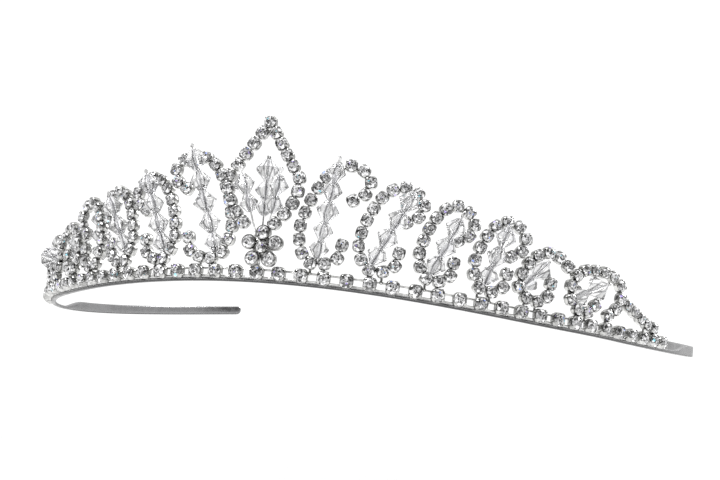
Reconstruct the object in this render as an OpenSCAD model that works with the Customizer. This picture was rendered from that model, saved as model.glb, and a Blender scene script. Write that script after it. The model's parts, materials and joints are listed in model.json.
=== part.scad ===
// Bridal tiara: a spring-steel headband with a rhinestone ladder row, six
// scrolls of cup chain on each side, crystal strands on wire pins, and a
// centre kite over a small flower.
// Millimetres. +Z is up, the front faces -Y and +X is the viewer's right.
// The origin is on the table, under the middle of the object's box.

/* [Headband] */
// Half the headband's width, at the middle of the strip
band_half_width = 80; // [76:1:84]
// Distance from the front of the headband back to its widest point
band_depth = 89; // [85:1:93]
// Thickness of the spring strip
band_thickness = 1; // [0.8:0.1:1.2]
// Height of the strip along the bare arms
arm_height = 2.6; // [2:0.1:3]
// Height of the strip where the stone row stands on it
neck_height = 0.8; // [0.7:0.1:1.4]
// Angle from the front at which an arm ends
arm_end = 130; // [120:1:140]
// How far the front of the lower edge arches above the table
front_rise = 2.1; // [0:0.1:3]
// How far the tips of the arms rise above the table
tip_rise = 12.2; // [0:0.1:14]

/* [Cup chain] */
// Radius of a stone's metal cup
cup_r = 1.25; // [1.2:0.05:1.3]
// Height of a cup
cup_h = 1.5; // [1.4:0.1:1.6]
// Distance between cups along the scrolls and the kite
chain_pitch = 2.7; // [2.6:0.05:3]
// Radius of a cup in the ladder row
row_cup_r = 1.45; // [1.4:0.05:1.5]
// Distance between cups along the ladder row
row_pitch = 4.36; // [4.2:0.02:4.6]
// Cups on each side of the middle one in the ladder row
row_cups = 22; // [20:1:23]

/* [Crystal strands] */
// Radius of the wire pins
pin_r = 0.35; // [0.3:0.05:0.4]
// Clearance around a pin inside a bead's bore
bead_play = 0.07; // [0.05:0.01:0.1]
// Height of a bead over its diameter
bead_aspect = 0.92; // [0.9:0.01:0.95]

/* [Flower] */
// Radius of a petal's cup
petal_r = 1.5; // [1.4:0.05:1.55]
// Distance from the flower's centre to a petal's
petal_circle = 2.85; // [2.8:0.05:3]

/* [Hidden] */
$fn = 32;
front_edge_end = 46;   // angle at which the front arch meets the table
arm_edge_start = 56;   // angle at which an arm starts to rise
arm_curve = 1.7;       // how late along the arm most of its rise comes
widen_start = 72;      // angles between which the strip widens into an arm
widen_end = 82;
band_step = 2;         // degrees between rings of the strip
middle_y = 20.2;       // the band's middle, behind the middle of the object's box
outer_face = band_thickness / 2;
row_z = 1.8;           // height of the row's cup centres over the strip's lower edge
rail_r = 0.2;
rail_z = [0.95, 2.45]; // heights of the ladder's two rails
rail_out = outer_face + 0.27;
rail_end_gap = 0.3;    // a rail stops this far short of a cup's centre, inside its floor
link_r = 0.22;
post_reach = 4.9;      // cups below this height get a post
cup_floor = 0.5;
cup_wall = 0.1;
stone_play = 0.02;
stone_seat = 0.05;     // gap under a stone's point
kite_out = 2.5;        // the kite and flower stand in front of the scrolls
head_r = 0.5;          // the head that keeps the beads on a pin
head_h = 1;
head_overlap = 0.2;
solder_gap = 0.01;
bead_end_r = 0.75;
bead_gap = 0.05;

// The last scroll is wider than high, and its outer side runs down to the row:
// its centre line, as fractions of its width and height.
end_scroll_line = [
    [0.50, 0.18], [0.38, 0], [0.19, 0], [0.02, 0.28], [0.07, 0.66], [0.26, 0.93], [0.52, 1],
    [0.78, 0.97], [0.97, 0.78], [1, 0.50], [0.92, 0.22], [0.76, 0.02]
];

// Scrolls from the centre outwards: where along the band each starts, its
// width and its height.
right_scrolls = [[7.4, 12.9, 19.8], [18.9, 11.9, 17], [30.5, 10.5, 15.3], [41.3, 10.9, 14.4],
    [51, 11.6, 10.2], [62.9, 15.3, 8.8]];
left_scrolls = [[6, 14.8, 20.8], [18.9, 11.9, 17], [30.5, 10.5, 15.3], [41.3, 10.9, 14.4],
    [51, 11.6, 10.2], [62.9, 15.3, 8.8]];
// Strands, in the same order: where along the band and how high the pin's foot
// is, its lean along the band and out from it, its length, how far up it the
// lowest bead is, and the bead diameters.
right_strands = [
    [11, 4.3, 10.3, 24, 21.3, 3.5, [4, 4, 4.6, 4, 3.8]],
    [21.3, 4.9, 25.1, 24, 18.5, 3.35, [4.2, 4.4, 4.4, 4.4]],
    [33.2, 5.4, 19, 24, 13.7, 2.7, [4.2, 4.4, 4.4]],
    [44.1, 4.9, 12.5, 20, 14.2, 3.15, [4.2, 4.4, 4.4]],
    [51.6, 5.6, 46, -6, 11.4, 4.1, [4.2, 4.8]],
    [64.1, 6.3, 63.3, 12, 10.8, 3, [4.4, 5.2]]
];
left_strands = [
    [9.1, 4.6, 15.1, 13.5, 23.2, 3.3, [4, 4.4, 4.8, 4.4, 4.8]],
    [21.8, 5, 12.2, 17, 18.1, 3, [4.2, 4.4, 4.4, 4.4]],
    [33, 5.3, 13.2, 20.3, 14.5, 3.4, [4.2, 4.4, 4.4]],
    [42.8, 4.9, 24.6, -4.6, 14.7, 3.6, [4.2, 4.4, 4.4]],
    [52.2, 5.5, 47.6, -4.8, 12, 4.7, [4.2, 4.8]],
    [65.3, 7.3, 73.4, 20.5, 10.5, 2.7, [4.4, 5.2]]
];

// The kite's centre line from one lower end to the other.
kite_line = [
    [-3.2, 11.2], [-5.6, 13.8], [-7.2, 17], [-7.2, 20.4], [0, 31.4], [7.2, 20.4], [7.2, 17], [5.6, 13.8],
    [3.2, 11.2]
];
// The tail runs from the last scroll down to the end of the row.
tail_line = [[80.5, 7.6], [83.6, 6.6], [87.4, 5.2], [91.2, 4.5]];
flower_at = [1.2, 6.5];
fork_z = 9.4;          // where the three centre pins meet
fork_half = 1.1;
stem_rise = 2;         // height over the flower's centre at which the kite's stems end
centre_pin_top = 25.4;
side_pin_top = 21.4;
centre_beads = [3.4, 4.4, 4.8];
centre_beads_z = 14.8; // height of the lowest bead on the middle pin
side_beads = [3.8, 4.4];
side_beads_z = 15;

sides = ["left", "right"];
scroll_numbers = [1:6];
section_cups = 5;      // the ladder row is built in sections of this many cups
section_numbers = [1:9];
function scroll_nodes(kind) = [for (side = sides, i = scroll_numbers) str(kind, "_", side, "_", i)];

// ---- the band's curve ----

function band_xy(t) = [band_half_width * sin(t), middle_y - band_depth * cos(t)];
function heading(t) = atan2(band_depth * sin(t), band_half_width * cos(t));
function lower_edge(t) =
    let (a = abs(t))
    a < front_edge_end
        ? front_rise * pow((cos(a) - cos(front_edge_end)) / (1 - cos(front_edge_end)), 2)
        : a > arm_edge_start
            ? tip_rise * pow((cos(arm_edge_start) - cos(a)) / (cos(arm_edge_start) - cos(arm_end)), arm_curve)
            : 0;
function smooth(x) = let (c = max(0, min(1, x))) c * c * (3 - 2 * c);
function strip_height(t) =
    neck_height + (arm_height - neck_height) * smooth((abs(t) - widen_start) / (widen_end - widen_start));

// Angle at each distance along the band, found by adding up short steps.
angle_step = 0.5;
function step_length(t) =
    norm([band_half_width * cos(t), band_depth * sin(t)]) * angle_step * PI / 180;
angle_table = [
    for (t = 0, s = 0; t < arm_end; s = s + step_length(t + angle_step / 2), t = t + angle_step) [s, t]
];
function angle_at(s) = sign(s) * lookup(abs(s), angle_table);

// Puts its children on the band's middle surface at a distance s along it:
// their X runs along the band, their Y is up and their Z points outwards.
module on_band(s) {
    t = angle_at(s);
    translate([band_xy(t).x, band_xy(t).y, lower_edge(t)]) rotate([90, 0, heading(t)]) children();
}

function band_point(s, up, out) =
    let (t = angle_at(s), h = heading(t))
    [band_xy(t).x + out * sin(h), band_xy(t).y - out * cos(h), lower_edge(t) + up];

// ---- shared shapes ----

module rod(from, to, r) {
    along = to - from;
    translate(from) rotate([0, acos(along.z / norm(along)), atan2(along.y, along.x)])
        cylinder(h = norm(along), r = r);
}

module cup(r = cup_r) {
    difference() {
        cylinder(h = cup_h, r = r);
        translate([0, 0, cup_floor]) cylinder(h = cup_h, r = r - cup_wall);
    }
}

// A round brilliant, for a radius of 1: pavilion, girdle, crown and table.
brilliant_profile = [[0, 0], [1, 0.7], [1, 0.8], [0.6, 1.15], [0, 1.15]];

module stone(r = cup_r - cup_wall - stone_play) {
    translate([0, 0, cup_floor + stone_seat]) rotate_extrude() polygon(r * brilliant_profile);
}

module bead(d) {
    h = d * bead_aspect / 2;
    bore = pin_r + bead_play;
    rotate_extrude() polygon([[bore, -h], [bead_end_r, -h], [d / 2, 0], [bead_end_r, h], [bore, h]]);
}

// ---- points along a line ----

function spline_point(a, b, c, d, u) =
    0.5 * (2 * b + (c - a) * u + (2 * a - 5 * b + 4 * c - d) * u * u + (3 * b - a - 3 * c + d) * u * u * u);
function spline(line, steps = 10) =
    let (n = len(line))
    concat(
        [for (i = [0:n - 2], k = [0:steps - 1])
            spline_point(line[max(0, i - 1)], line[i], line[i + 1], line[min(n - 1, i + 2)], k / steps)],
        [line[n - 1]]
    );
function lengths(line) =
    [
        for (i = 0, s = 0; i < len(line); s = s + (i < len(line) - 1 ? norm(line[i + 1] - line[i]) : 0), i = i + 1)
            s
    ];
function even_points(line, pitch) =
    let (
        s = lengths(line),
        total = s[len(s) - 1],
        count = max(1, round(total / pitch)),
        xs = [for (i = [0:len(s) - 1]) [s[i], line[i].x]],
        ys = [for (i = [0:len(s) - 1]) [s[i], line[i].y]]
    )
    [for (k = [0:count]) let (at = total * k / count) [lookup(at, xs), lookup(at, ys)]];

module chain(points, out) {
    translate([0, 0, out]) {
        for (p = points) translate([p.x, p.y, 0]) cup();
        for (i = [0:len(points) - 2])
            rod([points[i].x, points[i].y, cup_floor / 2],
                [points[i + 1].x, points[i + 1].y, cup_floor / 2], link_r);
    }
}

// The lowest cups of a chain stand on the ladder's upper rail on short posts.
module posts(points, out) {
    for (p = points)
        if (p.y < post_reach)
            rod([p.x, rail_z[1], out + cup_floor / 2], [p.x, p.y, out + cup_floor / 2], link_r);
}

module stones(points, out) {
    for (p = points) translate([p.x, p.y, out]) stone();
}

// ---- headband and ladder row ----

// Corners of the strip's cross-section at an angle: inner then outer face.
function strip_ring(t) =
    let (p = band_xy(t), h = heading(t), n = [sin(h), -cos(h)] * outer_face, z = lower_edge(t))
    [
        [p.x - n.x, p.y - n.y, z], [p.x + n.x, p.y + n.y, z],
        [p.x + n.x, p.y + n.y, z + strip_height(t)], [p.x - n.x, p.y - n.y, z + strip_height(t)]
    ];

module headband() {
    angles = [for (t = [-arm_end:band_step:arm_end]) t];
    last = len(angles) - 1;
    color("silver") polyhedron(
        points = [for (t = angles) each strip_ring(t)],
        faces = concat(
            [[3, 2, 1, 0]],
            [for (i = [0:last - 1], k = [0:3])
                let (a = 4 * i + k, b = 4 * i + (k + 1) % 4)
                each [[a, b, b + 4], [a, b + 4, a + 4]]],
            [[4 * last, 4 * last + 1, 4 * last + 2, 4 * last + 3]]
        )
    );
}

row_places = [for (i = [-row_cups:row_cups]) i * row_pitch];

// A rail's point at a cup, or halfway to the next cup where i is between two whole numbers.
function rail_point(i, up) =
    let (
        a = band_point(row_places[floor(i)], up, rail_out),
        b = band_point(row_places[ceil(i)], up, rail_out)
    )
    (a + b) / 2;
function short_of(cup_end, other_end) =
    cup_end + rail_end_gap * (other_end - cup_end) / norm(other_end - cup_end);

// A rail between two cups, or from a cup out to the end of its section.
module rail(i, j, up) {
    from = rail_point(i, up);
    to = rail_point(j, up);
    rod(short_of(from, to), j == floor(j) ? short_of(to, from) : to, rail_r);
}

// Sections meet face to face halfway between two cups.
module ladder_row(k) {
    first = section_cups * (k - 1);
    last = min(first + section_cups, len(row_places)) - 1;
    start = max(0, first - 0.5);
    end = min(len(row_places) - 1, last + 0.5);
    color("silver") {
        for (i = [first:last]) on_band(row_places[i]) translate([0, row_z, outer_face]) cup(row_cup_r);
        for (up = rail_z) {
            if (start < first) rail(first, start, up);
            for (i = [first:last - 1]) rail(i, i + 1, up);
            if (end > last) rail(last, end, up);
        }
    }
}

tail_middle = 86;
tail_places = [for (p = even_points(spline(tail_line), chain_pitch)) [p.x - tail_middle, p.y]];

module on_both_tails() {
    on_band(tail_middle) children();
    mirror([1, 0, 0]) on_band(tail_middle) children();
}

module tail_chains() {
    color("silver") on_both_tails() {
        chain(tail_places, outer_face);
        posts(tail_places, outer_face);
    }
}

module row_stones() {
    color("white") {
        for (s = row_places)
            on_band(s) translate([0, row_z, outer_face]) stone(row_cup_r - cup_wall - stone_play);
        on_both_tails() stones(tail_places, outer_face);
    }
}

// ---- scrolls ----

scroll_bottom = 4.5;   // height of a scroll's lowest cups over the lower edge
function scroll_data(side, i) = (side == "left" ? left_scrolls : right_scrolls)[i - 1];
function strand_data(side, i) = (side == "left" ? left_strands : right_strands)[i - 1];
function scroll_middle(d) = d[0] + d[1] / 2;

// A scroll starts at its outer foot, runs under, up the long inner side and
// over, and ends in a hook, except the fifth, which ends against the sixth.
function scroll_line(w, h, hooked) = concat(
    [[0.66 * w, 4], [0.60 * w, 1.2], [0.38 * w, 0], [0.13 * w, 0.6], [0, 0.26 * h], [0.04 * w, 0.46 * h],
     [0.17 * w, 0.70 * h], [0.38 * w, 0.91 * h], [0.66 * w, h], [w - 0.9, h - 1.4]],
    hooked ? [[w, h - 3.8], [w - 1.3, h - 5.9], [w - 3.2, h - 6.9]] : [[w, h - 2.1]]
);
function scroll_places(d, i) =
    let (
        line = i == 6
            ? [for (p = end_scroll_line) [p.x * d[1], p.y * d[2]]]
            : scroll_line(d[1], d[2], i < 5)
    )
    even_points(spline([for (p = line) [p.x - d[1] / 2, p.y + scroll_bottom]]), chain_pitch);

module on_scroll(side, i) {
    d = scroll_data(side, i);
    mirror([side == "left" ? 1 : 0, 0, 0]) on_band(scroll_middle(d)) children();
}

module scroll_chain(side, i) {
    places = scroll_places(scroll_data(side, i), i);
    color("silver") on_scroll(side, i) {
        chain(places, outer_face);
        posts(places, outer_face);
    }
}

module scroll_stones(side, i) {
    color("white") on_scroll(side, i) stones(scroll_places(scroll_data(side, i), i), outer_face);
}

// A pin is soldered to the back of its scroll's lowest cups, and leans.
function pin_direction(p) = [sin(p[2]) * cos(p[3]), cos(p[2]) * cos(p[3]), sin(p[3])];
function pin_point(side, i, along) =
    let (p = strand_data(side, i))
    [p[0] - scroll_middle(scroll_data(side, i)), p[1], outer_face - pin_r - solder_gap]
        + along * pin_direction(p);

// Turns its children's Z along a direction.
module facing(direction) {
    rotate([0, acos(direction.z / norm(direction)), atan2(direction.y, direction.x)]) children();
}

// The pin's top is a thicker head, which keeps the beads on.
module bead_pin(side, i) {
    length = strand_data(side, i)[4];
    head_start = length - head_overlap;
    on_scroll(side, i) {
        rod(pin_point(side, i, 0), pin_point(side, i, length), pin_r);
        rod(pin_point(side, i, head_start), pin_point(side, i, head_start + head_h), head_r);
    }
}

module bead_pins(side) {
    color("silver") for (i = scroll_numbers) bead_pin(side, i);
}

// Heights of the bead centres along a strand, each bead touching the next.
function bead_steps(ds) =
    [for (i = 0, s = 0; i < len(ds);
        s = s + (i < len(ds) - 1 ? (ds[i] + ds[i + 1]) * bead_aspect / 2 + bead_gap : 0), i = i + 1) s];

module strand(ds) {
    at = bead_steps(ds);
    for (i = [0:len(ds) - 1]) translate([0, 0, at[i]]) bead(ds[i]);
}

module beads(side, i) {
    p = strand_data(side, i);
    color("lightcyan") on_scroll(side, i) translate(pin_point(side, i, p[5])) facing(pin_direction(p))
        strand(p[6]);
}

// ---- centre ----

kite_places = concat(
    even_points([for (i = [0:4]) kite_line[i]], chain_pitch),
    [for (p = even_points([for (i = [0:4]) kite_line[4 + i]], chain_pitch)) if (p.x > 0) p]
);

// Stems join the kite's two ends to the flower's plate.
module kite_chain() {
    end = kite_line[0];
    color("silver") on_band(0) {
        chain(kite_places, kite_out);
        for (flip = [0, 1]) mirror([flip, 0, 0])
            rod([end.x, end.y, kite_out + cup_floor / 2],
                [end.x / 2, flower_at.y + stem_rise, kite_out + cup_floor / 2],
                link_r);
    }
}

module kite_stones() {
    color("white") on_band(0) stones(kite_places, kite_out);
}

plate_h = 0.4;
petal_places = [for (i = [0:4]) flower_at + petal_circle * [cos(90 + 72 * i), sin(90 + 72 * i)]];

// The petals stand on a plate, with a stud at its back that is soldered to the fork.
module flower_cups() {
    color("silver") on_band(0) {
        translate([0, 0, kite_out]) {
            translate(flower_at) cylinder(h = plate_h, r = petal_circle);
            translate(flower_at) cup();
            for (p = petal_places) translate(p) cup(petal_r);
        }
        translate([0, flower_at.y, fork_out]) cylinder(h = kite_out + plate_h - fork_out, r = pin_r);
    }
}

module flower_stones() {
    color("white") on_band(0) translate([0, 0, kite_out]) {
        translate(flower_at) stone();
        for (p = petal_places) translate(p) stone(petal_r - cup_wall - stone_play);
    }
}

// The fork's stem stands on the ladder row behind the flower; the outer pins
// splay sideways and forwards, and the middle one leans back and a little left.
fork_out = 1.1;
solder_r = 0.7;        // the blobs of solder where the prongs meet
side_solder_r = 0.45;
side_foot = [fork_half, fork_z, 1.5];
side_slope = [0.26, 1, 0.36];
middle_slope = [-0.07, 1, -0.12];

function fork_point(foot, slope, up) = foot + (up - foot.y) * slope;

module along(foot, slope, up) {
    translate(fork_point(foot, slope, up)) facing(slope) children();
}

module centre_pin_fork() {
    middle_foot = [0, fork_z, fork_out];
    color("silver") on_band(0) {
        rod([0, row_z + row_cup_r - cup_wall, fork_out], middle_foot, pin_r);
        rod(middle_foot, fork_point(middle_foot, middle_slope, centre_pin_top), pin_r);
        rod([-side_foot.x, side_foot.y, side_foot.z], side_foot, pin_r);
        translate(middle_foot) sphere(solder_r);
        for (flip = [0, 1]) mirror([flip, 0, 0]) {
            translate(side_foot) sphere(side_solder_r);
            rod(side_foot, fork_point(side_foot, side_slope, side_pin_top), pin_r);
        }
    }
}

module centre_beads_middle() {
    color("lightcyan") on_band(0)
        along([0, fork_z, fork_out], middle_slope, centre_beads_z) strand(centre_beads);
}

module centre_beads_right() {
    color("lightcyan") on_band(0) along(side_foot, side_slope, side_beads_z) strand(side_beads);
}

module centre_beads_left() {
    mirror([1, 0, 0]) centre_beads_right();
}

// ---- one line for each node ----

headband();
row_stones();
tail_chains();
kite_chain();
kite_stones();
flower_cups();
flower_stones();
centre_pin_fork();
centre_beads_middle();
centre_beads_left();
centre_beads_right();
for (k = section_numbers) {
    ladder_row(k);
}
for (side = sides) {
    bead_pins(side);
}
for (side = sides, i = scroll_numbers) {
    scroll_chain(side, i);
    scroll_stones(side, i);
    beads(side, i);
}
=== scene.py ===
import json
import math
import random

import bpy
import numpy as np
from mathutils import Matrix, Vector


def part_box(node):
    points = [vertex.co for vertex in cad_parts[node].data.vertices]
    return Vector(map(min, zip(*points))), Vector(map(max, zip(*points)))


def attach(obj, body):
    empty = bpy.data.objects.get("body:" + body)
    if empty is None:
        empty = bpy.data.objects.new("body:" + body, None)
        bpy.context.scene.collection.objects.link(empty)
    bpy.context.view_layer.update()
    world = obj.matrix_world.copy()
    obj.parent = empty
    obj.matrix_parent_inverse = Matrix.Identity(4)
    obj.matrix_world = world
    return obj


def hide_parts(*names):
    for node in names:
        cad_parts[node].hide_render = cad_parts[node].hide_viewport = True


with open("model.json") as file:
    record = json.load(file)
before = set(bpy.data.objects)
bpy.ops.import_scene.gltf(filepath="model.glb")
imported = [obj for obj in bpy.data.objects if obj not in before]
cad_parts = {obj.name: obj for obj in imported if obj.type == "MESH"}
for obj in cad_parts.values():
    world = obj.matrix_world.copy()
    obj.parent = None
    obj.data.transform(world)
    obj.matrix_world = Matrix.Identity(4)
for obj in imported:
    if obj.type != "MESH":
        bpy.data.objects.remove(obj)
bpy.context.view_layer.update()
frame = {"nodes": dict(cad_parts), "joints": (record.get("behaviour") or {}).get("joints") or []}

MM = 0.001
ROOT = "tiara"
SIDES = ("left", "right")
SCROLLS = [f"{side}_{i}" for side in SIDES for i in range(1, 7)]
UP = np.array([0.0, 0.0, 1.0])

# The band, in millimetres and degrees from its middle, as the CAD model has it.
BAND_A, BAND_B, BAND_Y = 80.0, 89.0, 20.2
ARM_END, NECK_H, ARM_H = 130.0, 0.8, 2.6
NECK_END, NECK_RUN = 72, 10             # where the strip starts to widen, and over how far
FLAT_FROM, FLAT_TO = 46, 56             # where its lower edge lies on the table
MIDDLE_RISE, ARM_RISE = 2.1, 12.2       # of the lower edge, at the middle and at the arms' tips
ROW_Z, RAIL_Z = 1.8, (0.95, 2.45)

# Settings, in millimetres.
STONE_R = 1.03          # of the stone that the cup template holds
BEZEL_R = 1.28          # of the stone that the bezel template stands for
BEZEL_STONE = 0.88      # share of a petal's stone that its rim leaves open
STONE_SEAT = 0.55       # from a cup's base to the stone's lowest point
FULL = 1.06             # the claws and stones reach a little past the CAD cup
ROW_BAND = 0.3          # a cup this close to ROW_Z belongs to the row
POST_BELOW = 4.95       # a cup this low over the strip stands on a post

# Wires, in millimetres.
WIRE_LIFT = 0.25        # of a chain's wire over its cups' bases
LINK_R, POST_R, RAIL_R, PIN_R, EYE_R, STUD_R = 0.22, 0.24, 0.2, 0.17, 0.17, 0.33
BAR_R = (0.16, 0.24, 0.16)              # the swelling of the wire between two cups
BAR_HALF = 0.3


# ---- materials ----

def new_material(name):
    mat = bpy.data.materials.new(name)
    mat.use_nodes = True
    return mat, mat.node_tree, mat.node_tree.nodes["Principled BSDF"]


def node(tree, kind, **values):
    n = tree.nodes.new(kind)
    for key, value in values.items():
        if key in n.inputs:
            n.inputs[key].default_value = value
        else:
            setattr(n, key, value)
    return n


def ramp(tree, source, stops):
    n = tree.nodes.new("ShaderNodeValToRGB")
    while len(n.color_ramp.elements) < len(stops):
        n.color_ramp.elements.new(0.5)
    for e, (at, value) in zip(n.color_ramp.elements, stops):
        e.position = at
        e.color = (value, value, value, 1) if not isinstance(value, tuple) else (*value, 1)
    tree.links.new(source, n.inputs["Fac"])
    return n.outputs["Color"]


def add_bump(tree, shader, source, strength, distance):
    b = node(tree, "ShaderNodeBump", Strength=strength, Distance=distance)
    tree.links.new(source, b.inputs["Height"])
    tree.links.new(b.outputs["Normal"], shader.inputs["Normal"])


def metal(name, tones, rough, scale, bump=0.15):
    """Silver plate: tone and roughness vary softly, with a fine pitted surface."""
    mat, tree, shader = new_material(name)
    shader.inputs["Metallic"].default_value = 1
    place = node(tree, "ShaderNodeTexCoord")
    broad = node(tree, "ShaderNodeTexNoise", Scale=scale, Detail=4.0, Roughness=0.6)
    fine = node(tree, "ShaderNodeTexNoise", Scale=scale * 9, Detail=2.0)
    for n in (broad, fine):
        tree.links.new(place.outputs["Object"], n.inputs["Vector"])
    tone = ramp(tree, broad.outputs["Fac"], [(0.35, tones[0]), (0.6, tones[1])])
    gloss = ramp(tree, broad.outputs["Fac"], [(0.3, rough[1]), (0.65, rough[0])])
    tree.links.new(tone, shader.inputs["Base Color"])
    tree.links.new(gloss, shader.inputs["Roughness"])
    add_bump(tree, shader, fine.outputs["Fac"], bump, 0.00004)
    return mat


def brushed_metal(name):
    """The strip: fine lines along its length, from a map that runs along the band, and painted shade
    darkening its lower corners and underside.
    """
    mat, tree, shader = new_material(name)
    shader.inputs["Metallic"].default_value = 1
    uv = node(tree, "ShaderNodeUVMap", uv_map="along")
    stretch = node(tree, "ShaderNodeMapping")
    stretch.inputs["Scale"].default_value = (0.12, 14, 1)
    tree.links.new(uv.outputs["UV"], stretch.inputs["Vector"])
    lines = node(tree, "ShaderNodeTexNoise", Scale=1.0, Detail=5.0, Roughness=0.7)
    tree.links.new(stretch.outputs["Vector"], lines.inputs["Vector"])
    marks = node(tree, "ShaderNodeTexNoise", Scale=0.35, Detail=3.0)
    tree.links.new(uv.outputs["UV"], marks.inputs["Vector"])
    # Painted shade: the per-face colour darkens the strip's lower corners and underside.
    edge = node(tree, "ShaderNodeVertexColor", layer_name="facet")
    mix = node(tree, "ShaderNodeMix", data_type="RGBA", blend_type="MULTIPLY")
    mix.inputs["Factor"].default_value = 1.0
    tree.links.new(ramp(tree, lines.outputs["Fac"], [(0.3, (0.24, 0.24, 0.245)), (0.7, (0.38, 0.38, 0.385))]),
                   mix.inputs[6])
    tree.links.new(edge.outputs["Color"], mix.inputs[7])
    tree.links.new(mix.outputs[2], shader.inputs["Base Color"])
    tree.links.new(ramp(tree, marks.outputs["Fac"], [(0.35, 0.20), (0.65, 0.34)]), shader.inputs["Roughness"])
    add_bump(tree, shader, lines.outputs["Fac"], 0.25, 0.00003)
    return mat


def stone_material(name):
    """A foiled brilliant under clear glass: each facet gets its own painted reflection, a tone that stands in
    for the share of the light it throws back.
    """
    mat, tree, shader = new_material(name)
    facet = node(tree, "ShaderNodeVertexColor", layer_name="facet")
    place = node(tree, "ShaderNodeTexCoord")
    # Fine noise darkens the painted reflections in small specks.
    cloud = node(tree, "ShaderNodeTexNoise", Scale=2600.0, Detail=1.0)
    tree.links.new(place.outputs["Object"], cloud.inputs["Vector"])
    mix = node(tree, "ShaderNodeMix", data_type="RGBA", blend_type="MULTIPLY")
    mix.inputs["Factor"].default_value = 0.5
    tree.links.new(facet.outputs["Color"], mix.inputs[6])
    tree.links.new(ramp(tree, cloud.outputs["Fac"], [(0.40, 0.55), (0.55, 1.0)]), mix.inputs[7])
    tree.links.new(mix.outputs[2], shader.inputs["Base Color"])
    shader.inputs["Metallic"].default_value = 0.4
    shader.inputs["Roughness"].default_value = 0.08
    shader.inputs["Coat Weight"].default_value = 1
    shader.inputs["Coat Roughness"].default_value = 0.02
    shader.inputs["Coat IOR"].default_value = 1.55
    return mat


def bead_material(name):
    """Cut lead crystal, clear, with faint polishing marks."""
    mat, tree, shader = new_material(name)
    place = node(tree, "ShaderNodeTexCoord")
    marks = node(tree, "ShaderNodeTexNoise", Scale=900.0, Detail=3.0)
    tree.links.new(place.outputs["Object"], marks.inputs["Vector"])
    tree.links.new(ramp(tree, marks.outputs["Fac"], [(0.4, 0.0), (0.75, 0.05)]), shader.inputs["Roughness"])
    # The base colour is painted per face: the grey edges and bore are painted shade and reflections in clear
    # crystal.
    facet = node(tree, "ShaderNodeVertexColor", layer_name="facet")
    tree.links.new(facet.outputs["Color"], shader.inputs["Base Color"])
    shader.inputs["Transmission Weight"].default_value = 0.88
    shader.inputs["IOR"].default_value = 1.33
    return mat


SILVER = metal("silver_plate", ((0.25, 0.25, 0.245), (0.52, 0.52, 0.51)), (0.12, 0.30), 900)
WIRE = metal("silver_wire", ((0.45, 0.45, 0.45), (0.75, 0.75, 0.75)), (0.14, 0.32), 700)
STRIP = brushed_metal("brushed_strip")
STONE = stone_material("foiled_stone")
BEAD = bead_material("cut_crystal")


# ---- mesh building ----

class Shape:
    """Vertices in millimetres and faces, collected before they become one piece."""

    def __init__(self):
        self.verts, self.faces, self.colours, self.count = [], [], [], 0

    def add(self, verts, faces, colours=None):
        verts = np.asarray(verts, float)
        self.verts.append(verts)
        self.faces += [[i + self.count for i in f] for f in faces]
        if colours is not None:
            self.colours += list(colours)
        self.count += len(verts)

    def place(self, template, origin, x, y, z, scale=1.0, colours=None):
        verts, faces = template
        self.add(origin + scale * (verts[:, :1] * x + verts[:, 1:2] * y + verts[:, 2:] * z), faces, colours)

    def piece(self, name, material, body, slot, replaced, sharp=35.0, flat=False):
        mesh = bpy.data.meshes.new(name)
        mesh.from_pydata((np.concatenate(self.verts) * MM).tolist(), [], self.faces)
        mesh.materials.append(material)
        # Each face's colour goes on the layer "facet": the painted reflections and shade that the stone, bead
        # and strip materials read.
        if self.colours:
            layer = mesh.color_attributes.new("facet", "FLOAT_COLOR", "CORNER")
            values = np.ones((len(mesh.loops), 4), np.float32)
            at = 0
            for face, colour in zip(self.faces, self.colours):
                values[at:at + len(face), :3] = colour
                at += len(face)
            layer.data.foreach_set("color", values.ravel())
        if not flat:
            mesh.shade_smooth()
            mesh.set_sharp_from_angle(angle=math.radians(sharp))
        obj = bpy.data.objects.new(name, mesh)
        bpy.context.scene.collection.objects.link(obj)
        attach(obj, body)
        if replaced:
            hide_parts(*replaced)
        return obj


def lathe(profile, sides, wobble=None):
    """Rings about Z from (radius, height) pairs; a radius of 0 makes one point."""
    verts, faces, rings = [], [], []
    for r, z in profile:
        if r == 0:
            rings.append([len(verts)])
            verts.append((0, 0, z))
            continue
        ring = []
        for k in range(sides):
            a = 2 * math.pi * k / sides
            q = r * (wobble(a) if wobble else 1)
            ring.append(len(verts))
            verts.append((q * math.cos(a), q * math.sin(a), z))
        rings.append(ring)
    for lo, hi in zip(rings, rings[1:]):
        for k in range(sides):
            n = (k + 1) % sides
            if len(lo) == 1:
                faces.append((lo[0], hi[n], hi[k]))
            elif len(hi) == 1:
                faces.append((lo[k], lo[n], hi[0]))
            else:
                faces.append((lo[k], lo[n], hi[n], hi[k]))
    return np.array(verts, float), faces


def across(direction, hint=UP):
    """Two unit directions square to direction and to each other."""
    x = np.cross(hint, direction)
    if np.linalg.norm(x) < 1e-6:
        x = np.cross([1.0, 0, 0], direction)
    x /= np.linalg.norm(x)
    return x, np.cross(direction, x)


def unit(v):
    v = np.asarray(v, float)
    return v / np.linalg.norm(v)


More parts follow.
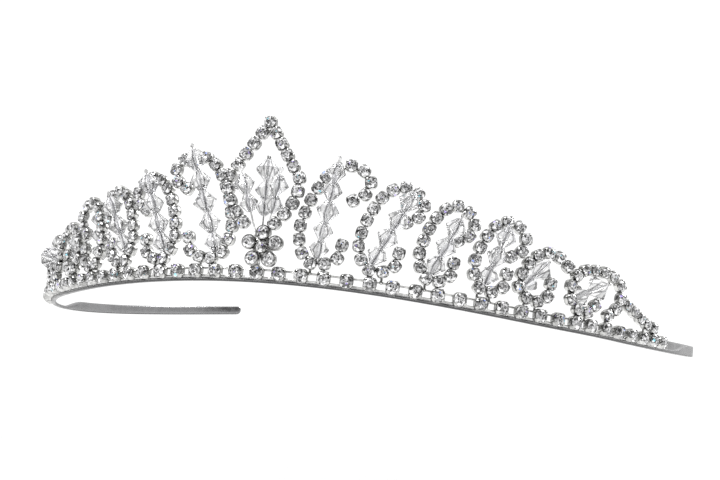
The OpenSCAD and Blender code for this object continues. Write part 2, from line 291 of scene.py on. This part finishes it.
def tube(points, radius, sides=10, closed=False, round_ends=True):
    """A round wire through points; radius may be one value or one for each point."""
    points = np.asarray(points, float)
    n = len(points)
    radii = np.full(n, radius, float) if np.isscalar(radius) else np.asarray(radius, float)
    verts, faces, x = [], [], None
    for i, p in enumerate(points):
        before = points[i - 1] if i or closed else points[i]
        after = points[(i + 1) % n] if i < n - 1 or closed else points[i]
        d = unit(after - before)
        if x is None:
            x, y = across(d)
        else:
            x = unit(x - d * x.dot(d))
            y = np.cross(d, x)
        verts += [p + radii[i] * (math.cos(a) * x + math.sin(a) * y)
                  for a in np.linspace(0, 2 * math.pi, sides, endpoint=False)]
    for i in range(n if closed else n - 1):
        j = (i + 1) % n
        faces += [(i * sides + k, i * sides + (k + 1) % sides, j * sides + (k + 1) % sides, j * sides + k)
                  for k in range(sides)]
    if not closed:
        for ring, inner, sign in ((0, points[0] - points[1], 1), (n - 1, points[-1] - points[-2], -1)):
            tip = points[ring] + (unit(inner) * radii[ring] * 0.45 if round_ends else 0)
            verts.append(tip)
            c = len(verts) - 1
            faces += [(ring * sides + (k + 1) % sides, ring * sides + k, c)[::sign] for k in range(sides)]
    return np.array(verts), faces


def ball(radius, squash=1.0):
    steps = [math.pi * (i / 6 - 0.5) for i in range(7)]
    side = [(radius * math.cos(a), radius * squash * math.sin(a)) for a in steps[1:-1]]
    return lathe([(0, -radius * squash)] + side + [(0, radius * squash)], 12)


# ---- reading the frame ----

def clusters(name):
    """The separate closed solids of a CAD node, each as its distinct vertices in millimetres."""
    mesh = frame["nodes"][name].data
    co = np.zeros(len(mesh.vertices) * 3)
    mesh.vertices.foreach_get("co", co)
    co = co.reshape(-1, 3) / MM
    _, first, same = np.unique(np.round(co, 3), axis=0, return_index=True, return_inverse=True)
    same = same.ravel()
    parent = list(range(len(first)))

    def top(i):
        while parent[i] != i:
            parent[i] = parent[parent[i]]
            i = parent[i]
        return i

    for edge in mesh.edges:
        a, b = top(same[edge.vertices[0]]), top(same[edge.vertices[1]])
        if a != b:
            parent[a] = b
    groups = {}
    for i, f in enumerate(first):
        groups.setdefault(top(i), []).append(co[f])
    return [np.array(g) for g in groups.values()]


def stone_frames(name):
    """(centre of the cup's base, outward direction, radius) of each stone of a node."""
    found = []
    for pts in clusters(name):
        mid = pts.mean(0)
        axis = np.linalg.eigh(np.cov((pts - mid).T))[1][:, 0]
        along = (pts - mid) @ axis
        if -along.min() < along.max():
            axis, along = -axis, -along
        culet = pts[along.argmin()]
        table = pts[along > along.max() - 0.01].mean(0)
        axis = unit(table - culet)
        r = np.linalg.norm(np.cross(pts - culet, axis), axis=1).max()
        found.append((culet - STONE_SEAT * axis, axis, r))
    return found


def bead_frames(name):
    """(centre, axis, radius, half height) of each bead of a strand."""
    found = []
    for pts in clusters(name):
        mid = pts.mean(0)
        axis = np.linalg.eigh(np.cov((pts - mid).T))[1][:, 2]
        along = (pts - mid) @ axis
        hi, lo = pts[along > along.max() - 0.01].mean(0), pts[along < along.min() + 0.01].mean(0)
        axis = unit(hi - lo)
        centre = (hi + lo) / 2
        r = np.linalg.norm(np.cross(pts - centre, axis), axis=1).max()
        found.append((centre, axis, r, np.linalg.norm(hi - lo) / 2))
    return found


def chain_links(frames, reach=3.6):
    """Pairs of neighbours along a chain: the shortest tree that joins its cups."""
    pts = np.array([f[0] for f in frames])
    inside, pairs = {0}, []
    while len(inside) < len(pts):
        outside = [b for b in range(len(pts)) if b not in inside]
        best = min((np.linalg.norm(pts[a] - pts[b]), a, b) for a in inside for b in outside)
        if best[0] < reach:
            pairs.append(best[1:])
        inside.add(best[2])
    return pairs


def band_angle(p):
    return math.atan2(p[0] / BAND_A, -(p[1] - BAND_Y) / BAND_B)


def lower_edge(t):
    a = abs(math.degrees(t))
    c = math.cos(t)
    if a < FLAT_FROM:
        high = math.cos(math.radians(FLAT_FROM))
        return MIDDLE_RISE * ((c - high) / (1 - high)) ** 2
    if a > FLAT_TO:
        low = math.cos(math.radians(FLAT_TO))
        return ARM_RISE * ((low - c) / (low - math.cos(math.radians(ARM_END)))) ** 1.7
    return 0.0


def heading(t):
    return math.atan2(BAND_B * math.sin(t), BAND_A * math.cos(t))


# ---- templates ----

def square_off(a):
    """How far a cup's wall swells towards its four corners."""
    return 1 + 0.065 * math.cos(4 * a + math.pi)


def cup_template():
    """A pressed four-claw cup, open at the top, with its claws at the corners."""
    wall = [(0, 0.0), (0.72, 0.0), (1.0, 0.03), (1.09, 0.14), (1.11, 0.55), (1.12, 1.02),
            (1.09, 1.1), (1.045, 1.06), (1.03, 0.9), (1.0, 0.55), (0, 0.5)]
    verts, faces = lathe(wall, 20, square_off)
    verts = [tuple(v) for v in verts]
    # A claw's distance from the middle, height and half width, from its root to its tip.
    path = [(1.14, 0.5, 0.30), (1.165, 0.85, 0.30), (1.15, 1.18, 0.27),
            (1.05, 1.42, 0.24), (0.90, 1.53, 0.20), (0.78, 1.55, 0.12)]
    thick = 0.055
    for k in range(4):
        a = math.pi / 4 + k * math.pi / 2
        out, side = np.array([math.cos(a), math.sin(a)]), np.array([-math.sin(a), math.cos(a)])
        start = len(verts)
        for i, (r, z, w) in enumerate(path):
            prior, later = path[max(0, i - 1)], path[min(len(path) - 1, i + 1)]
            d = unit([later[0] - prior[0], later[1] - prior[1]])
            for s, t in ((-1, -1), (1, -1), (1, 0.2), (0, 1), (-1, 0.2)):
                q = out * (r + t * thick * d[1]) + side * (s * w)
                verts.append((q[0], q[1], z - t * thick * d[0]))
        for i in range(len(path) - 1):
            for j in range(5):
                n = (j + 1) % 5
                b = start + 5 * i
                faces.append((b + j, b + n, b + 5 + n, b + 5 + j))
        last = start + 5 * (len(path) - 1)
        faces += [tuple(range(start, start + 5))[::-1], tuple(range(last, last + 5))]
    return np.array(verts), faces


def bezel_template():
    """A round rubbed-over setting, with a thick rim."""
    wall = [(0, 0.0), (1.1, 0.0), (1.3, 0.08), (1.38, 0.3), (1.4, 0.9), (1.37, 1.2),
            (1.28, 1.36), (1.16, 1.38), (1.08, 1.28), (1.06, 1.0), (0, 0.6)]
    return lathe(wall, 28)


def stone_template():
    """A round brilliant of radius 1, its table cut up as the pavilion shows through it."""
    culet, girdle, crown = 0.0, (0.70, 0.80), 1.15
    verts = [(0, 0, culet)]

    def ring(radius, z, count, turn=0.0):
        start = len(verts)
        for k in range(count):
            a = 2 * math.pi * (k + turn) / count
            verts.append((radius * math.cos(a), radius * math.sin(a), z))
        return start

    low = ring(1, girdle[0], 16)
    high = ring(1, girdle[1], 16)
    mid = ring(0.80, 0.99, 8)
    table = ring(0.58, crown, 8, 0.5)
    star = ring(0.33, crown + 0.004, 8)
    heart = ring(0.14, crown + 0.006, 8, 0.5)
    faces = [(0, low + (k + 1) % 16, low + k) for k in range(16)]
    faces += [(low + k, low + (k + 1) % 16, high + (k + 1) % 16, high + k) for k in range(16)]
    for k in range(8):
        n = (k + 1) % 8
        faces.append((high + 2 * k, high + 2 * k + 1, mid + k))
        faces.append((high + (2 * k + 15) % 16, high + 2 * k, mid + k))
        faces.append((high + 2 * k + 1, mid + n, table + k, mid + k))
        faces.append((mid + n, table + n, table + k))
        faces.append((table + k, star + n, star + k))
        faces.append((table + k, table + n, star + n))
        faces.append((star + k, star + n, heart + k))
        faces.append((star + n, heart + n, heart + k))
    faces.append(tuple(heart + k for k in range(8)))
    return np.array(verts, float), faces


CUP, BEZEL, BRILLIANT = cup_template(), bezel_template(), stone_template()
PAINTED_FLASH_TINTS = [(0.30, 0.42, 1.0), (0.55, 0.42, 1.0), (0.35, 0.85, 1.0)]

# Painted reflections on the facets: (the draw that this kind ends at, its lowest and highest tone).
PAINTED_FLASH_SHARE = 0.012
PAINTED_FACET_KINDS = [(0.28, 0.02, 0.1), (0.64, 0.15, 0.45), (1, 0.65, 1)]


def painted_facet_reflections(rng, count):
    """Painted reflections: a dark, middle or bright share for each facet, and now and then a painted flash of
    blue.
    """
    shades = []
    for _ in range(count):
        pick = rng.random()
        if pick < PAINTED_FLASH_SHARE:
            shades.append(rng.choice(PAINTED_FLASH_TINTS))
            continue
        low, high = next(tones for end, *tones in PAINTED_FACET_KINDS if pick < end)
        grey = rng.uniform(low, high)
        shades.append((grey, grey, grey * 1.01))
    return shades


def add_stone(shape, base, axis, radius, x, rng):
    y = np.cross(axis, x)
    turn = rng.uniform(0, math.pi / 4)
    x, y = math.cos(turn) * x + math.sin(turn) * y, math.cos(turn) * y - math.sin(turn) * x
    tones = painted_facet_reflections(rng, len(BRILLIANT[1]))
    shape.place(BRILLIANT, base + STONE_SEAT * axis, x, y, axis, radius, tones)


# ---- chains of cups ----

SOLDER = ball(0.42, 0.7)


def chain_pieces(label, frames, chain_nodes, stone_nodes, seed, posts=True):
    """The cups, wire and posts of a chain as one piece, and its stones as another."""
    rng = random.Random(seed)
    metalwork, stones = Shape(), Shape()
    pairs = chain_links(frames)
    near = {i: [] for i in range(len(frames))}
    for a, b in pairs:
        near[a].append(b)
        near[b].append(a)
    for i, (base, axis, radius) in enumerate(frames):
        ends = near[i] + [i]
        along = frames[ends[0]][0] - frames[ends[-1] if len(near[i]) < 2 else ends[1]][0]
        x = unit(along - axis * along.dot(axis)) if np.linalg.norm(along) > 0.1 else across(axis)[0]
        metalwork.place(CUP, base, x, np.cross(axis, x), axis, FULL * radius / STONE_R)
        add_stone(stones, base, axis, FULL * radius, x, rng)
        t = band_angle(base)
        height = base[2] - lower_edge(t)
        if posts and height < POST_BELOW:
            foot = base - UP * (height - RAIL_Z[1])
            metalwork.add(*tube([foot + WIRE_LIFT * axis, base + WIRE_LIFT * axis], POST_R))
            metalwork.place(SOLDER, foot + 0.3 * axis + 0.1 * UP, *across(axis), axis)
    for a, b in pairs:
        lift = WIRE_LIFT * frames[a][1]
        metalwork.add(*tube([frames[a][0] + lift, frames[b][0] + lift], LINK_R, 8))
        middle = (frames[a][0] + frames[b][0]) / 2 + 1.6 * lift
        d = unit(frames[b][0] - frames[a][0])
        metalwork.add(*tube([middle - BAR_HALF * d, middle, middle + BAR_HALF * d], BAR_R, 8))
    metalwork.piece(f"{label}_cups", SILVER, ROOT, "cup_chain", chain_nodes)
    stones.piece(f"{label}_brilliants", STONE, ROOT, "stone_crystal", stone_nodes, flat=True)


for index, key in enumerate(SCROLLS):
    chain_pieces(f"scroll_{key}", stone_frames(f"scroll_stones_{key}"), [f"scroll_chain_{key}"],
                 [f"scroll_stones_{key}"], 100 + index)
chain_pieces("kite", stone_frames("kite_stones"), ["kite_chain"], ["kite_stones"], 7, posts=False)

# The ladder row, and the tail chains whose stones share its node.
all_row = stone_frames("row_stones")
above = [f[0][2] - lower_edge(band_angle(f[0])) for f in all_row]
row = sorted((f for f, z in zip(all_row, above) if abs(z - ROW_Z) < ROW_BAND), key=lambda f: band_angle(f[0]))
tails = [f for f, z in zip(all_row, above) if abs(z - ROW_Z) >= ROW_BAND]
for side, sign in (("left", -1), ("right", 1)):
    own = [f for f in tails if f[0][0] * sign > 0]
    chain_pieces(f"tail_{side}", own, ["tail_chains"] if sign > 0 else [], [], 31 + sign)

rng = random.Random(5)
ladder, row_stones = Shape(), Shape()
for base, axis, radius in row:
    x = unit(np.cross(UP, axis))
    ladder.place(CUP, base, x, np.cross(axis, x), axis, radius / STONE_R)
    add_stone(row_stones, base, axis, radius, x, rng)
for up in RAIL_Z:
    line = [f[0] + 0.27 * f[1] + UP * (up - ROW_Z) for f in row]
    ladder.add(*tube(line, RAIL_R, 8))
ladder.piece("ladder_cups", SILVER, ROOT, "cup_chain", [f"ladder_row_{k}" for k in range(1, 10)])
row_stones.piece("ladder_brilliants", STONE, ROOT, "stone_crystal", ["row_stones"], flat=True)

# ---- the flower ----

rng = random.Random(11)
flower, flower_stones = Shape(), Shape()
petals = stone_frames("flower_stones")
hub = min(petals, key=lambda f: f[2])
for base, axis, radius in petals:
    x = across(axis)[0]
    big = radius > hub[2] + 0.05
    setting, fitted = (BEZEL, BEZEL_R) if big else (CUP, STONE_R)
    flower.place(setting, base, x, np.cross(axis, x), axis, radius / fitted)
    add_stone(flower_stones, base, axis, radius * (BEZEL_STONE if big else 1), x, rng)
    if big:
        flower.add(*tube([hub[0] + 0.3 * axis, base + 0.3 * axis], 0.4, 10))
plate = lathe([(0, -0.02), (2.0, -0.02), (2.15, 0.1), (2.15, 0.28), (2.0, 0.38), (0, 0.38)], 32)
flower.place(plate, hub[0], *across(hub[1]), hub[1])
flower.add(*tube([hub[0] - 1.3 * hub[1], hub[0] + 0.2 * hub[1]], STUD_R))
flower.piece("flower_settings", SILVER, ROOT, "cup_chain", ["flower_cups"])
flower_stones.piece("flower_brilliants", STONE, ROOT, "stone_crystal", ["flower_stones"], flat=True)

# ---- wire pins ----

JOINTS = {j["child"]: j for j in frame["joints"]}


def pin_line(body, solids, reach=0.42):
    """Foot, top and direction of a pin, from the CAD pin's vertices close to its strand's axis."""
    joint = JOINTS[body]
    at, axis = np.array(joint["pos_m"]) / MM, unit(joint["axis"])
    pts = min(solids, key=lambda p: np.linalg.norm(np.cross(p - at, axis), axis=1).min()
              + abs((p - at) @ axis).min())
    along = (pts - at) @ axis
    off = np.linalg.norm(np.cross(pts - at, axis), axis=1)
    on = along[off < reach]
    return at + axis * on.min(), at + axis * on.max(), axis


LONG_EYES = ("right_1", "right_3")
FORK_Z = 9.4            # where the three centre pins meet, over the strip's lower edge


def eye(top, axis, side, long=0.6, wide=0.3):
    """The bent-over end of a pin: a small long loop."""
    centre = top + axis * (long - 0.15)
    ring = [centre + axis * long * math.cos(a) + side * wide * math.sin(a)
            for a in np.linspace(0, 2 * math.pi, 18, endpoint=False)]
    return tube(ring, EYE_R, 8, closed=True)


cad_pins = {side: clusters(f"bead_pins_{side}") for side in SIDES}
for key in SCROLLS:
    foot, top, axis = pin_line(f"strand_{key}", cad_pins[key.split("_")[0]])
    shape = Shape()
    shape.add(*tube([foot, foot + 0.5 * (top - foot), top], PIN_R, 12))
    long = 0.6 if key in LONG_EYES else 0.3
    shape.add(*eye(top - 0.1 * axis, axis, unit(np.cross(axis, [0.3, 1, 0])), long))
    shape.place(ball(0.55, 0.6), foot + 0.3 * axis, *across(axis), axis)
    shape.piece(f"pin_{key}", WIRE, ROOT, "pin_wire", [f"bead_pins_{key.split('_')[0]}"])

fork = Shape()
feet = {}
for which in ("middle", "left", "right"):
    foot, top, axis = pin_line(f"strand_centre_{which}", clusters("centre_pin_fork"))
    if which == "middle":
        foot = top - axis * (top[2] - MIDDLE_RISE - FORK_Z) / axis[2]
    feet[which] = foot
    fork.add(*tube([foot, (foot + top) / 2, top], PIN_R, 12))
    fork.add(*eye(top - 0.4 * axis, axis, unit(np.cross(axis, [0, 1, 0])), 0.5, 0.28))
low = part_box("centre_pin_fork")[0][2] / MM
fork.add(*tube([[0, feet["middle"][1], low], feet["middle"]], STUD_R, 12))
fork.add(*tube([feet["left"], feet["right"]], STUD_R, 12))
fork.place(ball(0.7), feet["middle"], *across(UP), UP)
for which in ("left", "right"):
    fork.place(ball(0.45), feet[which], *across(UP), UP)
fork.piece("centre_fork", WIRE, ROOT, "pin_wire", ["centre_pin_fork"])


# ---- crystal beads ----

def bead_template(radius, half, sides=8, bore=0.42, end=0.68, edge=0.09):
    """A bicone of flat faces with a narrow polished edge between neighbours, a girdle and a bore."""
    angles = [2 * math.pi * k / sides + turn for k in range(sides) for turn in (-edge, edge)]
    girdle = 0.03 * radius
    profile = [(bore, -half), (end, -half), (radius, -girdle), (radius, girdle), (end, half), (bore, half)]
    n = len(angles)
    verts = [(r * math.cos(a), r * math.sin(a), z) for r, z in profile for a in angles]
    faces = []
    for i in range(len(profile)):
        low, high = n * i, n * ((i + 1) % len(profile))
        faces += [(low + k, low + (k + 1) % n, high + (k + 1) % n, high + k) for k in range(n)]
    return np.array(verts, float), faces


def painted_bead_shading(rng, count, n=16):
    """Painted shade and reflections: wide faces near white, the narrow edges between them painted grey; the
    bore's n faces come last, also painted grey.
    """
    shades = []
    for i in range(count):
        narrow = i % n % 2 == 0
        bore = i >= count - n
        grey = 0.8 if bore else rng.uniform(0.15, 0.4) if narrow else rng.choice((0.9, 1, 1, 1))
        shades.append((grey, grey, min(1, grey * 1.02)))
    return shades


def strand(body, name, seed):
    """All the beads of a strand as one piece, which turns with the strand's body."""
    rng = random.Random(seed)
    shape = Shape()
    for centre, axis, radius, half in bead_frames(name):
        x, y = across(axis)
        turn = rng.uniform(0, math.pi / 4)
        x, y = math.cos(turn) * x + math.sin(turn) * y, math.cos(turn) * y - math.sin(turn) * x
        template = bead_template(radius, half)
        shape.place(template, centre, x, y, axis, 1, painted_bead_shading(rng, len(template[1])))
    shape.piece(f"crystals_{body[7:]}", BEAD, body, "bead_crystal", [name], flat=True)


for index, key in enumerate(SCROLLS):
    strand(f"strand_{key}", f"beads_{key}", 50 + index)
for index, which in enumerate(("middle", "left", "right")):
    strand(f"strand_centre_{which}", f"centre_beads_{which}", 80 + index)


# ---- the band ----

def strip_height(t):
    a = abs(math.degrees(t))
    c = max(0.0, min(1.0, (a - NECK_END) / NECK_RUN))
    return NECK_H + (ARM_H - NECK_H) * c * c * (3 - 2 * c)


def strip_section(height, thick=1.0, corner=0.28):
    """A rounded rectangle, as (out, up) pairs."""
    corner = min(corner, height * 0.4, thick * 0.4)
    pts = []
    corners = ((thick / 2, height, 0), (-thick / 2, height, 90), (-thick / 2, 0, 180), (thick / 2, 0, 270))
    for cx, cy, start in corners:
        for a in (0, 30, 60, 90):
            r = math.radians(start + a)
            sx, sy = math.copysign(corner, cx), corner if cy == 0 else -corner
            pts.append((cx - sx + corner * math.cos(r), cy + sy + corner * math.sin(r)))
    return pts


TIP_ROUND = 1.3         # length of a rounded arm tip
TIP_RADIUS = 82         # of the band's curve near the tips
LOWER_EDGE = range(8, 15)   # the faces of a section that lie on its lower corners and underside
# Painted shade: the lower corners and underside of the strip are coloured darker than the rest.
PAINTED_SHADE_TONE, PLAIN = (0.22, 0.22, 0.22), (1, 1, 1)


def band():
    """The strip from tip to tip, with a map of millimetres along it and round its section."""
    verts, faces, uvs, shades, s, last = [], [], [], [], 0.0, None
    fine = [ARM_END - x for x in (0, 0.08, 0.2, 0.4, 0.65, 0.95, 1.5)]
    degrees = [-f for f in fine] + list(np.arange(-128, 128.5, 1)) + fine[::-1]
    for deg in degrees:
        t = math.radians(deg)
        p = np.array([BAND_A * math.sin(t), BAND_Y - BAND_B * math.cos(t), lower_edge(t)])
        out = np.array([math.sin(heading(t)), -math.cos(heading(t)), 0])
        s += 0 if last is None else np.linalg.norm(p - last)
        last = p
        height = strip_height(t)
        to_end = (ARM_END - abs(deg)) * math.pi / 180 * TIP_RADIUS
        share = 1 if to_end > TIP_ROUND else math.sqrt(max(0.02, 1 - (1 - to_end / TIP_ROUND) ** 2))
        inset = height * (1 - (0.35 + 0.65 * share)) / 2
        girth = 0.0
        section = strip_section(height - 2 * inset)
        for i, (o, u) in enumerate(section):
            verts.append(p + out * o + UP * (u + inset))
            girth += math.dist(section[i], section[i - 1]) if i else 0
            uvs.append((s, girth))
    n = len(section)
    for i in range(len(degrees) - 1):
        for j in range(n):
            k = (j + 1) % n
            faces.append((i * n + j, (i + 1) * n + j, (i + 1) * n + k, i * n + k)[::-1])
            shades.append(PAINTED_SHADE_TONE if j in LOWER_EDGE else PLAIN)
    faces.append(tuple(range(n)))
    faces.append(tuple(range((len(degrees) - 1) * n, len(degrees) * n))[::-1])
    shape = Shape()
    shades += [PLAIN] * 2
    shape.add(verts, faces, shades)
    obj = shape.piece("spring_strip", STRIP, ROOT, "band", ["headband"], sharp=50)
    layer = obj.data.uv_layers.new(name="along")
    for loop in obj.data.loops:
        layer.data[loop.index].uv = uvs[loop.vertex_index]


band()

# ---- floor, light and camera ----

def stage_plane(name, size, z, colour, rough):
    mesh = bpy.data.meshes.new(name)
    h = size / 2
    mesh.from_pydata([(-h, -h, z), (h, -h, z), (h, h, z), (-h, h, z)], [], [(0, 1, 2, 3)])
    mat, tree, shader = new_material(name)
    shader.inputs["Base Color"].default_value = (*colour, 1)
    shader.inputs["Roughness"].default_value = rough
    mesh.materials.append(mat)
    obj = bpy.data.objects.new(name, mesh)
    bpy.context.scene.collection.objects.link(obj)


def area_light(name, place, target, size, power):
    light = bpy.data.lights.new(name, "AREA")
    light.shape = "DISK"
    light.size = size
    light.energy = power
    obj = bpy.data.objects.new(name, light)
    obj.location = place
    obj.rotation_mode = "QUATERNION"
    obj.rotation_quaternion = (Vector(target) - Vector(place)).to_track_quat("-Z", "Y")
    bpy.context.scene.collection.objects.link(obj)


stage_plane("floor", 12, -0.10, (0.93, 0.93, 0.93), 0.9)
area_light("key", (-0.35, -0.55, 0.75), (0, -0.05, 0.01), 0.3, 6)
area_light("rim", (0.55, 0.45, 0.6), (0, -0.05, 0.01), 0.3, 4)

world = bpy.data.worlds.new("studio")
bpy.context.scene.world = world
world.use_nodes = True
tree = world.node_tree
background = tree.nodes["Background"]


def soft_step(source, low, high):
    n = node(tree, "ShaderNodeMapRange", interpolation_type="SMOOTHSTEP")
    n.inputs["From Min"].default_value, n.inputs["From Max"].default_value = low, high
    tree.links.new(source, n.inputs["Value"])
    return n.outputs["Result"]


def maths(operation, a, b):
    n = node(tree, "ShaderNodeMath", operation=operation)
    for socket, value in zip(n.inputs, (a, b)):
        if isinstance(value, (int, float)):
            socket.default_value = value
        else:
            tree.links.new(value, socket)
    return n.outputs[0]


# A studio: a white sweep behind, a dark room in front and one soft box above.
# The two steps are shares of a direction's length along Y and along Z.
SWEEP, BOX, BOX_POWER = (-0.05, 0.30), (0.55, 0.7), 1.5
ROOM = 0.17             # light from the dark room
STEADY, UNEVEN = 0.65, 0.4      # the part of the light that is even, and the part that ripples
WHITE = 1.12            # what the camera and matt surfaces see
direction = node(tree, "ShaderNodeTexCoord").outputs["Generated"]
split = node(tree, "ShaderNodeSeparateXYZ")
tree.links.new(direction, split.inputs[0])
y, z = split.outputs[1], split.outputs[2]
ripple = node(tree, "ShaderNodeTexNoise", Scale=3.0, Detail=2.0)
tree.links.new(direction, ripple.inputs["Vector"])
behind = soft_step(y, *SWEEP)
overhead = maths("MULTIPLY", soft_step(z, *BOX), BOX_POWER)
glow = maths("MAXIMUM", maths("MAXIMUM", behind, overhead), ROOM)
waves = maths("MULTIPLY", soft_step(ripple.outputs["Fac"], 0.4, 0.6), UNEVEN)
studio = maths("MULTIPLY", glow, maths("ADD", STEADY, waves))
path = node(tree, "ShaderNodeLightPath")
plain = maths("MAXIMUM", path.outputs["Is Camera Ray"], path.outputs["Is Diffuse Ray"])
seen = node(tree, "ShaderNodeMix", data_type="FLOAT")
tree.links.new(plain, seen.inputs[0])
tree.links.new(studio, seen.inputs[2])
seen.inputs[3].default_value = WHITE
tree.links.new(seen.outputs[0], background.inputs["Color"])
bpy.context.scene.view_settings.view_transform = "Standard"

camera = bpy.data.cameras.new("camera")
camera.lens = 62.23
camera.sensor_width = 36
camera.clip_start = 0.01
CAMERA_PLACE = (0.08634, -0.29356, -0.02974)
CAMERA_AXES = (
    (0.958589, 0.265653, 0.102628),     # to its right
    (-0.050760, -0.195218, 0.979449),   # up
    (0.28023, -0.94410, -0.17365),      # back, away from the tiara
)
view = bpy.data.objects.new("camera", camera)
view.matrix_world = Matrix.Translation(CAMERA_PLACE) @ Matrix(CAMERA_AXES).transposed().to_4x4()
bpy.context.scene.collection.objects.link(view)
bpy.context.scene.camera = view
